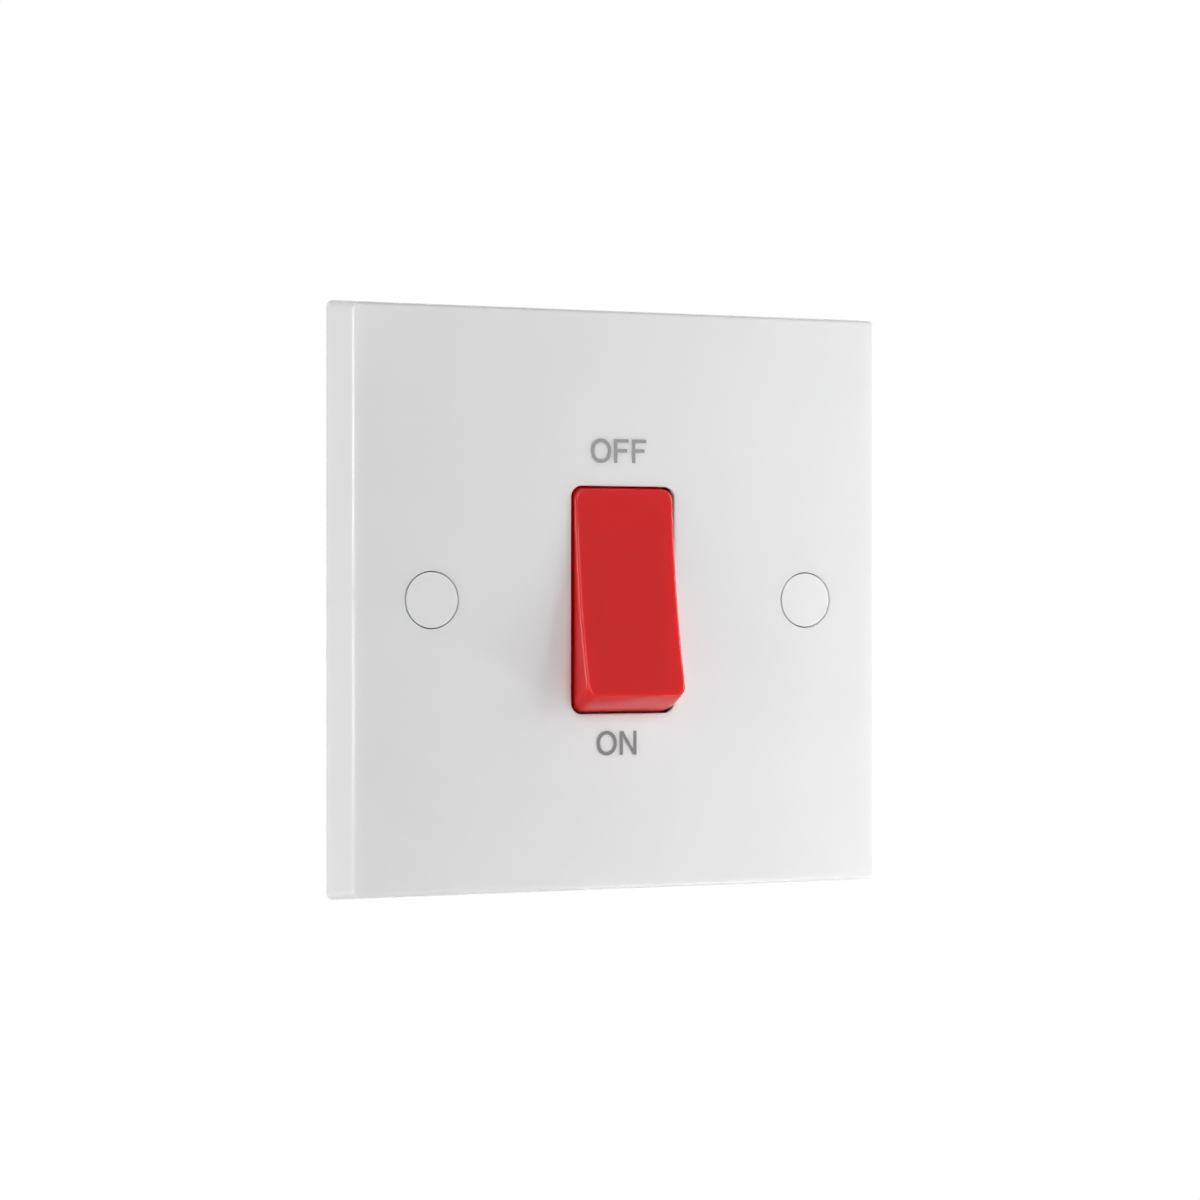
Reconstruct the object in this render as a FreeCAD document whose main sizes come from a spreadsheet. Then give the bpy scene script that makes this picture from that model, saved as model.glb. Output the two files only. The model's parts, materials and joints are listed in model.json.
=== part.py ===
import FreeCAD, Part
import math
import os
import Sketcher
from FreeCAD import Placement, Rotation, Vector
from types import SimpleNamespace

# One-gang double-pole cooker switch, in millimetres.
# +X is to the right, +Y goes into the wall, +Z is up. The wall plane is y = 0, its centre is the origin,
# and the visible face of the plate is at y = -plate_depth. The rocker rests at OFF, its top end pressed in.

SIZES = {
    # How far a cutting shape runs past the face that it opens
    "cut_past": 1.0,
    # Faceplate
    "plate_side": 86.0,
    "plate_depth": 8.5,
    "side_set_in": 0.89,
    "plate_corner": 1.1,
    "plate_edge": 0.5,
    "web_thickness": 2.5,
    "rim_wall": 2.2,
    "rib_width": 1.2,
    "rib_height": 2.0,
    "rib_place": 33.0,
    # Rocker opening in the faceplate
    "rocker_gap": 0.3,
    "opening_corner": 1.7,
    "lip_radius": 0.2,
    # Rocker
    "pivot_depth": 4.0,
    "rocker_angle": 17.5,
    "rocker_width": 15.9,
    "rocker_face": 30.4,
    "face_rise": 7.272,
    "face_radius": 135.0,
    "rocker_corner": 1.6,
    "rocker_edge": 0.45,
    "rocker_wall": 1.5,
    "rocker_front": 1.8,
    "skirt_rear": 0.6,
    # Rocker bearings
    "trunnion_radius": 1.5,
    "bearing_gap": 0.05,
    "cheek_radius": 2.2,
    "shoulder": 0.5,
    "ear_gap": 0.3,
    "ear_thickness": 2.0,
    "ear_height": 7.2,
    "trunnion_inset": 0.4,
    "keeper_gap": 0.1,
    # Plungers and their springs
    "pole_place": 4.4,
    "barrel_radius": 2.3,
    "barrel_reach": 7.5,
    "barrel_floor": 3.5,
    "plunger_radius": 1.45,
    "plunger_gap": 0.05,
    "plunger_tip": 11.0,
    "plunger_base": 3.5,
    "spring_wire": 0.3,
    "spring_radius": 1.1,
    "spring_turns": 8.0,
    "spring_gap": 0.1,
    # Contact levers
    "nose_gap": 0.1,
    "lever_width": 5.0,
    "lever_thickness": 1.0,
    "lever_past_contact": 1.9,
    "lever_lower": 9.0,
    "lever_angle": 13.5,
    "fulcrum_radius": 0.8,
    "fulcrum_inset": 0.5,
    "fulcrum_gap": 0.1,
    # Contact straps and rivets
    "strap_thickness": 1.5,
    "strap_stand": 1.5,
    "strap_end": 3.0,
    "strap_flange": 4.6,
    "contact_height": 11.0,
    "contact_radius": 1.5,
    "contact_dome": 0.8,
    "contact_round": 0.6,
    "contact_seat": 2.25,
    "contact_gap": 0.2,
    "rivet_shank": 0.8,
    "rivet_gap": 0.02,
    "rivet_head": 0.3,
    "rivet_head_radius": 1.2,
    # Mains terminals
    "terminal_stand": 2.5,
    "flange_gap": 0.3,
    "block_width": 10.0,
    "block_height": 11.0,
    "block_front": 5.0,
    "cable_radius": 3.2,
    "cable_front_wall": 1.6,
    "cable_rear_wall": 3.0,
    "block_edge": 0.4,
    "clamp_radius": 2.42,
    "clamp_gap": 0.08,
    "clamp_tip": 0.3,
    "clamp_travel": 3.6,
    "clamp_head_radius": 3.1,
    "clamp_head": 1.8,
    "clamp_slot": 1.0,
    "clamp_bevel": 0.3,
    "clamp_round": 0.25,
    # Switch housing
    "housing_front": 2.0,
    "rear_wall": 2.0,
    "entry_wall": 2.8,
    "housing_corner": 2.0,
    "housing_wall": 1.5,
    "pocket_gap": 0.2,
    "strap_seat": 0.1,
    "chamber_side_gap": 0.25,
    "chamber_end_gap": 0.15,
    "barrier": 1.8,
    "cable_entry": 0.5,
    "collar_wall": 1.4,
    "collar_gap": 0.4,
    # Housing screws
    "post_stand": 4.7,
    "post_to_side": 4.3,
    "post_to_end": 4.5,
    "post_radius": 3.2,
    "post_web": 1.5,
    "tapping_radius": 1.45,
    "tapping_gap": 0.05,
    "tapping_pass": 0.25,
    "tapping_seat": 5.0,
    "tapping_head_radius": 2.6,
    "tapping_crown": 1.95,
    "tapping_head": 1.9,
    "tapping_head_gap": 0.3,
    "tapping_end": 0.4,
    "cross_width": 0.9,
    "cross_depth": 1.0,
    # Wall fixings and their caps
    "fixing_centres": 60.3,
    "boss_radius": 5.7,
    "boss_rear": 0.3,
    "cap_radius": 4.0,
    "cap_gap": 0.15,
    "cap_thickness": 1.2,
    "cap_edge": 0.15,
    "recess_edge": 0.15,
    "cap_leg": 2.0,
    "cap_leg_wall": 0.5,
    "cap_leg_slot": 2.4,
    "head_seat": 3.1,
    "fixing_hole": 2.0,
    "fixing_neck": 1.5,
    "fixing_neck_end": 0.5,
    "fixing_thread": 1.75,
    "fixing_length": 25.0,
    "fixing_point": 0.4,
    "fixing_head_radius": 3.25,
    "fixing_head": 2.0,
    # Earth terminal
    "earth_stand": 2.5,
    "earth_drop": 1.2,
    "earth_width": 8.0,
    "earth_height": 9.0,
    "earth_radius": 2.3,
    "earth_bore_depth": 3.0,
    "earth_rear_wall": 2.7,
    "earth_socket": 3.0,
    "earth_socket_wall": 1.4,
    "earth_clamp_radius": 1.92,
    "earth_clamp_travel": 2.8,
    "earth_head_radius": 2.6,
    "earth_head": 1.5,
}

doc = FreeCAD.newDocument("cooker_switch")
sheet = doc.addObject("Spreadsheet::Sheet", "Sizes")
for row, (name, number) in enumerate(SIZES.items(), start=1):
    sheet.set(f"A{row}", name)
    sheet.set(f"B{row}", str(number))
    sheet.setAlias(f"B{row}", name)
doc.recompute()


class Size:
    """A length or an angle: its number, and the formula on the sheet's cells that gives it."""

    def __init__(self, number, text):
        self.number = number
        self.text = text

    def __add__(self, other):
        other = as_size(other)
        return Size(self.number + other.number, f"({self.text} + {other.text})")

    def __sub__(self, other):
        other = as_size(other)
        return Size(self.number - other.number, f"({self.text} - {other.text})")

    def __mul__(self, other):
        other = as_size(other)
        return Size(self.number * other.number, f"({self.text} * {other.text})")

    def __truediv__(self, other):
        other = as_size(other)
        return Size(self.number / other.number, f"({self.text} / {other.text})")

    def __neg__(self):
        return as_size(0) - self

    def __rsub__(self, other):
        return as_size(other) - self

    __radd__ = __add__
    __rmul__ = __mul__


def as_size(value):
    return value if isinstance(value, Size) else Size(float(value), f"({float(value)})")


def root(size):
    return Size(math.sqrt(size.number), f"sqrt({size.text})")


def sine(angle):
    return Size(math.sin(math.radians(angle.number)), f"sin({angle.text} * 1 deg)")


def cosine(angle):
    return Size(math.cos(math.radians(angle.number)), f"cos({angle.text} * 1 deg)")


def slope(rise, run):
    """The angle in degrees of a line that climbs `rise` over `run`."""
    ratio = rise / run
    return Size(math.degrees(math.atan(ratio.number)), f"(atan({ratio.text}) / 1 deg)")


s = SimpleNamespace(**{name: Size(sheet.get(name), f"Sizes.{name}") for name in SIZES})


# Helpers for sketches and solids. A span is a pair (low, high) along one axis.

TURN_FROM_Z = {
    "x": Rotation(Vector(0, 1, 0), 90),
    "y": Rotation(Vector(1, 0, 0), -90),
    "z": Rotation(),
}
nodes = {}


def bind(thing, prop, size):
    thing.setExpression(prop, as_size(size).text)


def around(centre, width):
    return (centre - width / 2, centre + width / 2)


def on_side(side, low, high):
    """A span on the right (side 1), or its mirror image on the left (side -1)."""
    return (as_size(low), as_size(high)) if side > 0 else (-as_size(high), -as_size(low))


def block(name, x, y, z):
    solid = doc.addObject("Part::Box", name)
    for length, axis, (low, high) in zip(("Length", "Width", "Height"), "xyz", (x, y, z)):
        bind(solid, length, as_size(high) - low)
        bind(solid, f"Placement.Base.{axis}", low)
    return solid


def rod(name, axis, radius, span, at):
    """A round bar along an axis; `at` gives its other two coordinates in x, y, z order."""
    solid = doc.addObject("Part::Cylinder", name)
    solid.Placement = Placement(Vector(), TURN_FROM_Z[axis])
    bind(solid, "Radius", radius)
    bind(solid, "Height", as_size(span[1]) - span[0])
    places = iter(at)
    for letter in "xyz":
        bind(solid, f"Placement.Base.{letter}", span[0] if letter == axis else next(places))
    return solid


def fuse(name, solids):
    joined = doc.addObject("Part::MultiFuse", name)
    joined.Shapes = solids
    joined.Refine = True
    return joined


def cut(name, base, tools):
    result = doc.addObject("Part::Cut", name)
    result.Base = base
    result.Tool = tools[0] if len(tools) == 1 else fuse(f"{name}_tools", tools)
    result.Refine = True
    return result


def round_edges(name, base, radius, test):
    """A fillet of one radius on the edges of a solid that pass a test on their two ends."""
    doc.recompute()
    rounded = doc.addObject("Part::Fillet", name)
    rounded.Base = base
    picked = [i for i, edge in enumerate(base.Shape.Edges, start=1) if test(*ends(edge))]
    rounded.Edges = [(i, radius.number, radius.number) for i in picked]
    return rounded


def ends(edge):
    return edge.Vertexes[0].Point, edge.Vertexes[-1].Point


def same(a, b):
    return abs(a - b) < 1e-4


def new_body(label):
    return doc.addObject("PartDesign::Body", label)


def new_sketch(body, plane, name, height=0):
    """A sketch on one of the body's origin planes, moved along the plane's normal by `height`."""
    sketch = body.newObject("Sketcher::SketchObject", name)
    origin_plane = next(f for f in body.Origin.OriginFeatures if f.Role == plane)
    sketch.AttachmentSupport = [(origin_plane, "")]
    sketch.MapMode = "FlatFace"
    bind(sketch, "AttachmentOffset.Base.z", height)
    return sketch


def fix_distance(sketch, kind, where, size):
    size = as_size(size)
    index = sketch.addConstraint(Sketcher.Constraint(kind, *where, size.number))
    bind(sketch, f"Constraints[{index}]", size)


def polygon(sketch, points):
    """A closed outline of straight lines, each corner held from the sketch's origin."""
    count = len(points)
    spots = [Vector(as_size(u).number, as_size(v).number, 0) for u, v in points]
    first = sketch.GeometryCount
    for i in range(count):
        sketch.addGeometry(Part.LineSegment(spots[i], spots[(i + 1) % count]), False)
    for i in range(count):
        following = first + (i + 1) % count
        sketch.addConstraint(Sketcher.Constraint("Coincident", first + i, 2, following, 1))
    for i, (u, v) in enumerate(points):
        fix_distance(sketch, "DistanceX", (-1, 1, first + i, 1), u)
        fix_distance(sketch, "DistanceY", (-1, 1, first + i, 1), v)


def rectangle(sketch, u, v):
    polygon(sketch, [(u[0], v[0]), (u[1], v[0]), (u[1], v[1]), (u[0], v[1])])


def circle(sketch, u, v, radius):
    centre = Vector(as_size(u).number, as_size(v).number, 0)
    ring = sketch.addGeometry(Part.Circle(centre, Vector(0, 0, 1), radius.number), False)
    fix_distance(sketch, "DistanceX", (-1, 1, ring, 3), u)
    fix_distance(sketch, "DistanceY", (-1, 1, ring, 3), v)
    fix_distance(sketch, "Radius", (ring,), radius)


def pad(body, sketch, length, reverse=False, middle=False, taper=0):
    return extrusion("PartDesign::Pad", body, sketch, length, reverse, middle, taper)


def pocket(body, sketch, length, reverse=False, middle=False, taper=0):
    return extrusion("PartDesign::Pocket", body, sketch, length, reverse, middle, taper)


def extrusion(kind, body, sketch, length, reverse, middle, taper):
    """A pad rises along its sketch's normal, and a pocket sinks against it, unless reversed."""
    feature = body.newObject(kind, f"{sketch.Name}_{kind[12:].lower()}")
    feature.Profile = sketch
    feature.Midplane = middle
    feature.Reversed = reverse
    bind(feature, "Length", length)
    bind(feature, "TaperAngle", taper)
    return feature


def revolve(body, sketch, axis):
    feature = body.newObject("PartDesign::Revolution", f"{sketch.Name}_turned")
    feature.Profile = sketch
    feature.ReferenceAxis = (sketch, [axis])
    feature.Angle = 360
    return feature


def round_body(body, name, radius, test):
    """A fillet on the edges of a body whose two ends pass a test."""
    doc.recompute()
    base = body.Tip
    picked = [f"Edge{i}" for i, edge in enumerate(base.Shape.Edges, start=1) if test(*ends(edge))]
    feature = body.newObject("PartDesign::Fillet", name)
    feature.Base = (base, picked)
    bind(feature, "Radius", radius)
    return feature


def turned(label, profile, place, turn):
    """A turned piece: a half profile of (radius, height) points, spun about its own height axis."""
    body = new_body(label)
    sketch = new_sketch(body, "XZ_Plane", f"{label}_profile")
    polygon(sketch, profile)
    revolve(body, sketch, "V_Axis")
    body.Placement = Placement(Vector(), turn)
    for axis, size in zip("xyz", place):
        bind(body, f"Placement.Base.{axis}", size)
    return body


def add_node(label, solid):
    solid.Label = label
    nodes[label] = solid


# A turned piece's own height axis is +Z. Facing rear it points along +Y, and facing front along -Y.
FACING_REAR = Rotation(Vector(1, 0, 0), -90)
FACING_FRONT = Rotation(Vector(1, 0, 0), 90)
SIDES = {"left": -1, "right": 1}
ENDS = {"feed": -1, "load": 1}

# Places that several pieces share

face_y = -s.plate_depth
web_y = s.web_thickness - s.plate_depth
pivot_y = -s.pivot_depth
housing_y = -s.housing_front
half_face = s.rocker_face / 2
end_radius = root(half_face * half_face + s.face_rise * s.face_rise)
opening_radius = end_radius + s.rocker_gap
opening_width = s.rocker_width + s.rocker_gap * 2
opening_face = root(opening_radius * opening_radius - (s.plate_depth - s.pivot_depth)
                    * (s.plate_depth - s.pivot_depth))
web_from_pivot = s.plate_depth - s.web_thickness - s.pivot_depth
opening_back = root(opening_radius * opening_radius - web_from_pivot * web_from_pivot)
opening_flare = slope(opening_back - opening_face, s.web_thickness)
cheek_end = s.rocker_width / 2 + s.shoulder
ear_start = cheek_end + s.ear_gap
ear_end = ear_start + s.ear_thickness
fixing_x = s.fixing_centres / 2

lever_front = s.plunger_tip + s.nose_gap - s.pivot_depth
fulcrum_y = lever_front + s.lever_thickness + s.fulcrum_inset
feed_strap_y = fulcrum_y + s.strap_stand
half_swing = s.lever_angle / 2
moving_dome = s.contact_dome - s.fulcrum_inset
load_strap_y = (fulcrum_y + moving_dome * cosine(half_swing) + s.contact_height * sine(half_swing)
                + s.contact_gap + s.contact_dome)
pole_near = s.pole_place - s.lever_width / 2
pole_far = s.pole_place + s.lever_width / 2

terminal_x = s.terminal_stand + s.block_width / 2
block_inner_z = s.contact_height + s.rivet_head_radius + s.flange_gap + s.strap_thickness
block_outer_z = block_inner_z + s.block_height
terminal_z = block_inner_z + s.block_height / 2
cable_y = s.block_front + s.cable_front_wall + s.cable_radius
block_rear = cable_y + s.cable_radius + s.cable_rear_wall
clamp_y = cable_y + s.cable_radius + s.clamp_tip
clamp_seat = block_rear + s.clamp_travel + s.pocket_gap

post_x = terminal_x + s.block_width / 2 + s.post_stand
half_width = post_x + s.post_to_side
half_height = block_outer_z + s.entry_wall
post_z = half_height - s.post_to_end
housing_rear = block_rear + s.rear_wall
collar_rear = clamp_seat + s.clamp_head
chamber_side = cheek_end + s.chamber_side_gap
chamber_end = opening_radius + s.chamber_end_gap


# Faceplate: a white moulded tray with leaning sides

plate = new_body("faceplate")
outline = new_sketch(plate, "XZ_Plane", "plate_outline")
rectangle(outline, around(0, s.plate_side), around(0, s.plate_side))
pad(plate, outline, s.plate_depth, taper=-slope(s.side_set_in, s.plate_depth))
round_body(plate, "plate_corners", s.plate_corner, lambda a, b: not same(a.y, b.y))
round_body(plate, "plate_front_edge", s.plate_edge,
           lambda a, b: same(a.y, face_y.number) and same(b.y, face_y.number))
tray = new_sketch(plate, "XZ_Plane", "plate_tray")
tray_side = s.plate_side - s.rim_wall * 2
rectangle(tray, around(0, tray_side), around(0, tray_side))
pocket(plate, tray, s.plate_depth - s.web_thickness, reverse=True,
       taper=-slope(s.side_set_in, s.plate_depth))

# Stiffening ribs across the back of the web, clear of the switch
ribs = new_sketch(plate, "XZ_Plane", "plate_ribs", -web_y)
rib_end = tray_side / 2 - s.side_set_in
for side in SIDES.values():
    rectangle(ribs, around(side * fixing_x, s.rib_width), (-rib_end, rib_end))
pad(plate, ribs, s.rib_height, reverse=True)
cross_ribs = new_sketch(plate, "XZ_Plane", "plate_cross_ribs", -web_y)
for side in SIDES.values():
    rectangle(cross_ribs, (-rib_end, rib_end), around(side * s.rib_place, s.rib_width))
pad(plate, cross_ribs, s.rib_height, reverse=True)

# Bosses for the wall fixings
bosses = new_sketch(plate, "XZ_Plane", "fixing_bosses", -web_y)
for side in SIDES.values():
    circle(bosses, side * fixing_x, 0, s.boss_radius)
pad(plate, bosses, -web_y - s.boss_rear, reverse=True)

# Posts that the switch housing is screwed to
posts = new_sketch(plate, "XZ_Plane", "housing_posts", -web_y)
for side in SIDES.values():
    for end in ENDS.values():
        circle(posts, side * post_x, end * post_z, s.post_radius)
pad(plate, posts, -web_y - s.housing_front, reverse=True)

# Ears with open slots that carry the rocker's trunnions
ears = new_sketch(plate, "XZ_Plane", "rocker_ears", -web_y)
for side in SIDES.values():
    rectangle(ears, on_side(side, ear_start, ear_end), around(0, s.ear_height))
pad(plate, ears, -web_y - s.housing_front, reverse=True)
bearing_radius = s.trunnion_radius + s.bearing_gap
bearing = new_sketch(plate, "YZ_Plane", "rocker_bearing")
circle(bearing, pivot_y, 0, bearing_radius)
pocket(plate, bearing, ear_end * 2 + s.cut_past, middle=True)
bearing_mouth = new_sketch(plate, "YZ_Plane", "rocker_bearing_mouth")
rectangle(bearing_mouth, (pivot_y, housing_y + s.cut_past), (-bearing_radius, bearing_radius))
pocket(plate, bearing_mouth, ear_end * 2 + s.cut_past, middle=True)

# Socket for the earth terminal, in the lower left corner seen from the front
earth_x = -half_width - s.earth_stand - s.earth_width / 2
earth_z = -half_height - s.earth_drop
socket_width = s.earth_width + s.pocket_gap * 2
socket_height = s.earth_height + s.pocket_gap * 2
earth_walls = new_sketch(plate, "XZ_Plane", "earth_socket_walls", -web_y)
rectangle(earth_walls, around(earth_x, socket_width + s.earth_socket_wall * 2),
          around(earth_z, socket_height + s.earth_socket_wall * 2))
pad(plate, earth_walls, s.earth_socket, reverse=True)
earth_recess = new_sketch(plate, "XZ_Plane", "earth_socket_recess", -web_y)
rectangle(earth_recess, around(earth_x, socket_width), around(earth_z, socket_height))
pocket(plate, earth_recess, s.earth_socket)

# Rocker opening, wider at the back so that the rocker's ends swing clear
opening = new_sketch(plate, "XZ_Plane", "rocker_opening", s.plate_depth)
rectangle(opening, around(0, opening_width), (-opening_face, opening_face))
pocket(plate, opening, s.web_thickness, taper=opening_flare)


def in_opening(point):
    return abs(point.x) < ear_start.number and abs(point.z) < opening_back.number + s.cut_past.number


round_body(plate, "opening_corners", s.opening_corner,
           lambda a, b: in_opening(a) and in_opening(b) and not same(a.y, b.y)
           and same(min(a.y, b.y), face_y.number) and same(max(a.y, b.y), web_y.number))
round_body(plate, "opening_lip", s.lip_radius,
           lambda a, b: in_opening(a) and in_opening(b) and same(a.y, face_y.number)
           and same(b.y, face_y.number))

# Recesses for the caps, fixing holes through the bosses, and pilot holes in the posts
recesses = new_sketch(plate, "XZ_Plane", "cap_recesses", s.plate_depth)
fixing_holes = new_sketch(plate, "XZ_Plane", "fixing_holes", s.plate_depth)
for side in SIDES.values():
    circle(recesses, side * fixing_x, 0, s.cap_radius + s.cap_gap)
    circle(fixing_holes, side * fixing_x, 0, s.fixing_hole)
pocket(plate, recesses, s.plate_depth - s.head_seat)


def on_recess_rim(point):
    return (same(point.y, face_y.number)
            and abs(abs(point.x) - fixing_x.number) < s.cap_radius.number + s.cap_gap.number * 2)


round_body(plate, "recess_rims", s.recess_edge, lambda a, b: on_recess_rim(a) and on_recess_rim(b))
pocket(plate, fixing_holes, s.plate_depth)
pilots = new_sketch(plate, "XZ_Plane", "post_pilot_holes", s.plate_depth - s.post_web)
for side in SIDES.values():
    for end in ENDS.values():
        circle(pilots, side * post_x, end * post_z, s.tapping_radius + s.tapping_gap)
pocket(plate, pilots, s.plate_depth - s.post_web - s.housing_front)
add_node("faceplate", plate)


# Rocker: a red moulded shell about its own pivot, tipped to OFF by its placement

rocker = new_body("rocker")
side_view = new_sketch(rocker, "YZ_Plane", "rocker_side_view")
face_y_local = -s.face_rise
face_bow = root(s.face_radius * s.face_radius - half_face * half_face)


def rocker_outline(sketch, end_radius, front_corner, rear):
    """Two round ends about the pivot, a straight rear edge, and a straight front to be replaced or kept."""
    front = -root(end_radius * end_radius - front_corner * front_corner)
    reach = root(end_radius * end_radius - rear * rear)
    corner = math.atan2(front_corner.number, front.number)
    base = math.atan2(reach.number, rear.number)
    centre = Vector(0, 0, 0)
    flat = Part.Circle(centre, Vector(0, 0, 1), end_radius.number)
    top = sketch.addGeometry(Part.ArcOfCircle(flat, base, corner), False)
    bottom = sketch.addGeometry(Part.ArcOfCircle(flat, -corner, -base), False)
    back = sketch.addGeometry(Part.LineSegment(Vector(rear.number, -reach.number, 0),
                                               Vector(rear.number, reach.number, 0)), False)
    join = sketch.addConstraint
    join(Sketcher.Constraint("Coincident", top, 3, -1, 1))
    join(Sketcher.Constraint("Coincident", bottom, 3, -1, 1))
    join(Sketcher.Constraint("Coincident", bottom, 2, back, 1))
    join(Sketcher.Constraint("Coincident", back, 2, top, 1))
    join(Sketcher.Constraint("Vertical", back))
    fix_distance(sketch, "Radius", (top,), end_radius)
    fix_distance(sketch, "DistanceX", (-1, 1, back, 1), rear)
    fix_distance(sketch, "DistanceY", (-1, 1, top, 2), front_corner)
    fix_distance(sketch, "DistanceY", (-1, 1, bottom, 1), -front_corner)
    return top, bottom


top, bottom = rocker_outline(side_view, end_radius, half_face, -s.skirt_rear)
bow_centre = face_y_local - face_bow
bow = Part.Circle(Vector(bow_centre.number, 0, 0), Vector(0, 0, 1), s.face_radius.number)
bow_angle = math.asin(half_face.number / s.face_radius.number)
front = side_view.addGeometry(Part.ArcOfCircle(bow, -bow_angle, bow_angle), False)
side_view.addConstraint(Sketcher.Constraint("Coincident", front, 1, bottom, 1))
side_view.addConstraint(Sketcher.Constraint("Coincident", front, 2, top, 2))
fix_distance(side_view, "Radius", (front,), s.face_radius)
pad(rocker, side_view, s.rocker_width, middle=True)
round_body(rocker, "rocker_corners", s.rocker_corner,
           lambda a, b: same(abs(a.x), abs(b.x)) and same(a.x, b.x) and not same(a.y, b.y)
           and not same(a.z, -b.z))
round_body(rocker, "rocker_face_edge", s.rocker_edge,
           lambda a, b: max(a.y, b.y) < face_y_local.number + s.rocker_edge.number)

# Hollow shell, open at the back
inside = new_sketch(rocker, "YZ_Plane", "rocker_inside")
inner_radius = end_radius - s.rocker_wall
inner_front = face_y_local + s.face_radius - face_bow + s.rocker_front
inner_corner = root(inner_radius * inner_radius - inner_front * inner_front)
inner_top, inner_bottom = rocker_outline(inside, inner_radius, inner_corner, -s.skirt_rear + s.cut_past)
inner_line = inside.addGeometry(Part.LineSegment(Vector(inner_front.number, -inner_corner.number, 0),
                                                 Vector(inner_front.number, inner_corner.number, 0)), False)
inside.addConstraint(Sketcher.Constraint("Coincident", inner_line, 1, inner_bottom, 1))
inside.addConstraint(Sketcher.Constraint("Coincident", inner_line, 2, inner_top, 2))
pocket(rocker, inside, s.rocker_width - s.rocker_wall * 2, middle=True)

# Barrels for the plungers, and the rib that joins them
barrels = new_sketch(rocker, "XZ_Plane", "plunger_barrels", -s.barrel_reach)
bores = new_sketch(rocker, "XZ_Plane", "plunger_bores", -s.barrel_reach)
for side in SIDES.values():
    circle(barrels, side * s.pole_place, 0, s.barrel_radius)
    circle(bores, side * s.pole_place, 0, s.plunger_radius + s.plunger_gap)
pad(rocker, barrels, s.barrel_reach - inner_front)
barrel_rib = new_sketch(rocker, "XZ_Plane", "barrel_rib", -s.barrel_reach)
rectangle(barrel_rib, around(0, s.pole_place * 2 - s.barrel_radius), around(0, s.rib_width))
pad(rocker, barrel_rib, s.barrel_reach - inner_front)

# Cheeks and trunnions on both sides
inner_side = s.rocker_width / 2 - s.rocker_wall
for word, side in SIDES.items():
    cheek = new_sketch(rocker, "YZ_Plane", f"cheek_{word}", side * inner_side)
    circle(cheek, 0, 0, s.cheek_radius)
    pad(rocker, cheek, cheek_end - inner_side, reverse=side < 0)
    trunnion = new_sketch(rocker, "YZ_Plane", f"trunnion_{word}", side * inner_side)
    circle(trunnion, 0, 0, s.trunnion_radius)
    pad(rocker, trunnion, ear_end - s.trunnion_inset - inner_side, reverse=side < 0)
pocket(rocker, bores, s.barrel_reach + s.barrel_floor, reverse=True)
rest_tilt = s.rocker_angle / 2
rocker.Placement = Placement(Vector(), Rotation(Vector(1, 0, 0), -rest_tilt.number))
bind(rocker, "Placement.Base.y", pivot_y)
bind(rocker, "Placement.Rotation.Angle", -rest_tilt)
add_node("rocker", rocker)


def tip_with_rocker(solid, x=0):
    """Turns a piece drawn about the rocker's pivot to the rocker's rest tilt."""
    solid.Placement = Placement(Vector(), Rotation(Vector(1, 0, 0), -rest_tilt.number))
    bind(solid, "Placement.Base.x", x)
    bind(solid, "Placement.Base.y", pivot_y)
    bind(solid, "Placement.Rotation.Angle", -rest_tilt)


# Sprung plungers in the rocker's barrels, which tip the contact levers

for word, side in SIDES.items():
    nose_y = s.plunger_tip - s.plunger_radius
    stem = rod(f"plunger_stem_{word}", "y", s.plunger_radius, (s.plunger_base, nose_y), (0, 0))
    nose = doc.addObject("Part::Sphere", f"plunger_nose_{word}")
    bind(nose, "Radius", s.plunger_radius)
    bind(nose, "Placement.Base.y", nose_y)
    plunger = fuse(f"plunger_{word}", [stem, nose])
    tip_with_rocker(plunger, side * s.pole_place)
    add_node(f"plunger_{word}", plunger)

    spring = new_body(f"plunger_spring_{word}")
    wire = new_sketch(spring, "XY_Plane", f"spring_wire_{word}")
    spring_start = s.spring_gap + s.spring_wire / 2 - s.barrel_floor
    spring_end = s.plunger_base - s.spring_gap - s.spring_wire / 2
    circle(wire, s.spring_radius, spring_start, s.spring_wire / 2)
    coil = spring.newObject("PartDesign::AdditiveHelix", f"spring_coil_{word}")
    coil.Profile = wire
    coil.ReferenceAxis = (wire, ["V_Axis"])
    coil.Mode = "height-turns-angle"
    bind(coil, "Height", spring_end - spring_start)
    bind(coil, "Turns", s.spring_turns)
    tip_with_rocker(spring, side * s.pole_place)
    add_node(f"plunger_spring_{word}", spring)


def rivet_profile(thickness):
    """Half profile of a contact rivet: its round contact head is above height 0, its shank below."""
    return [
        (0, -thickness - s.rivet_head),
        (s.rivet_head_radius, -thickness - s.rivet_head),
        (s.rivet_head_radius, -thickness),
        (s.rivet_shank, -thickness),
        (s.rivet_shank, 0),
        (s.contact_radius, 0),
        (s.contact_radius, s.contact_dome),
        (0, s.contact_dome),
    ]


def contact_rivet(label, thickness, place, turn):
    rivet = turned(label, rivet_profile(thickness), place, turn)
    round_body(rivet, f"{label}_dome", s.contact_round,
               lambda a, b: same(a.z, s.contact_dome.number) and same(b.z, s.contact_dome.number))
    return rivet


# See-saw contact levers, drawn about the fulcrum at mid-swing and then tilted to OFF

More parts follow.
